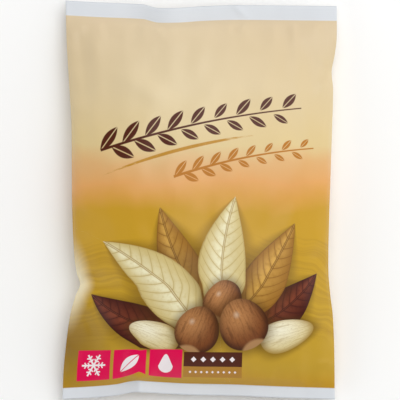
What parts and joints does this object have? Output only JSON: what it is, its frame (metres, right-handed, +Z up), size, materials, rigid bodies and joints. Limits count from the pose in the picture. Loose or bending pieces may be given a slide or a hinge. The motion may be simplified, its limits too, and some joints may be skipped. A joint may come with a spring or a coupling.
{
  "type": "filled pillow bag of frozen food",
  "caption": "Filled, sealed pillow bag of printed plastic film, lying flat, with two end seals, a fin seal underneath and frozen mushroom slices inside.",
  "frame": {"origin": "on the surface that the bag lies on, under the middle of its bounding box", "axes": "+X across the bag, +Y along it towards its top seal, +Z up out of its printed front"},
  "size_m": [0.2419, 0.351, 0.0604],
  "materials": {
    "printed_film": "satin printed laminate",
    "frozen_mushroom": "frosted, matt"
  },
  "bodies": {
    "root": {"film_bag": "printed_film", "slice_01": "frozen_mushroom", "slice_02": "frozen_mushroom", "slice_03": "frozen_mushroom", "slice_04": "frozen_mushroom", "slice_05": "frozen_mushroom", "slice_06": "frozen_mushroom", "slice_07": "frozen_mushroom", "slice_08": "frozen_mushroom", "slice_09": "frozen_mushroom", "slice_10": "frozen_mushroom", "slice_11": "frozen_mushroom", "slice_12": "frozen_mushroom", "slice_13": "frozen_mushroom", "slice_14": "frozen_mushroom", "slice_15": "frozen_mushroom", "slice_16": "frozen_mushroom", "slice_17": "frozen_mushroom", "slice_18": "frozen_mushroom", "slice_19": "frozen_mushroom", "slice_20": "frozen_mushroom", "slice_21": "frozen_mushroom", "slice_22": "frozen_mushroom", "slice_23": "frozen_mushroom", "slice_24": "frozen_mushroom", "slice_25": "frozen_mushroom", "slice_26": "frozen_mushroom", "slice_27": "frozen_mushroom", "slice_28": "frozen_mushroom", "slice_29": "frozen_mushroom", "slice_30": "frozen_mushroom", "slice_31": "frozen_mushroom", "slice_32": "frozen_mushroom", "slice_33": "frozen_mushroom", "slice_34": "frozen_mushroom", "slice_35": "frozen_mushroom", "slice_36": "frozen_mushroom", "slice_37": "frozen_mushroom", "slice_38": "frozen_mushroom", "slice_39": "frozen_mushroom", "slice_40": "frozen_mushroom", "slice_41": "frozen_mushroom", "slice_42": "frozen_mushroom", "slice_43": "frozen_mushroom", "slice_44": "frozen_mushroom", "slice_45": "frozen_mushroom", "slice_46": "frozen_mushroom"}
  },
  "joints": []
}
